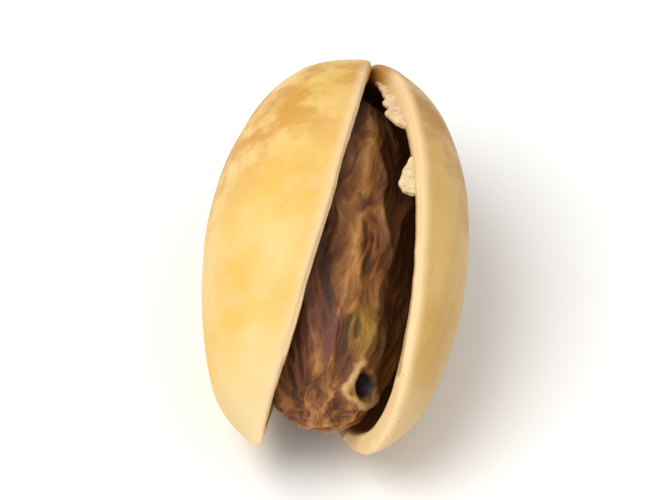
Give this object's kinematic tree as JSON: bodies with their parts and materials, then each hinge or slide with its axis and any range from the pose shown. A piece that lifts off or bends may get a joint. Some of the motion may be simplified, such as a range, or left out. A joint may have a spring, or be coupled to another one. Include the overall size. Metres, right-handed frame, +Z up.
{
  "type": "pistachio in shell",
  "caption": "Roasted nut in a woody shell split open from the tips, with the skin-covered kernel showing in the slit and a small flat spot to rest on.",
  "frame": {"origin": "on the resting surface, under the middle of the nut's bounding box", "axes": "+Z up, with the slit facing up and a little to +X; +Y along the nut towards its stem end, so the open tips point to -Y; +X from the deeper left half towards the right half"},
  "size_m": [0.0124, 0.0212, 0.0121],
  "materials": {
    "shell": "smooth dull woody shell, cream to golden tan",
    "kernel_skin": "dull dry papery skin, red-brown with streaks"
  },
  "bodies": {
    "root": {"shell_half_left": "shell", "shell_half_right": "shell", "kernel": "kernel_skin"}
  },
  "joints": []
}
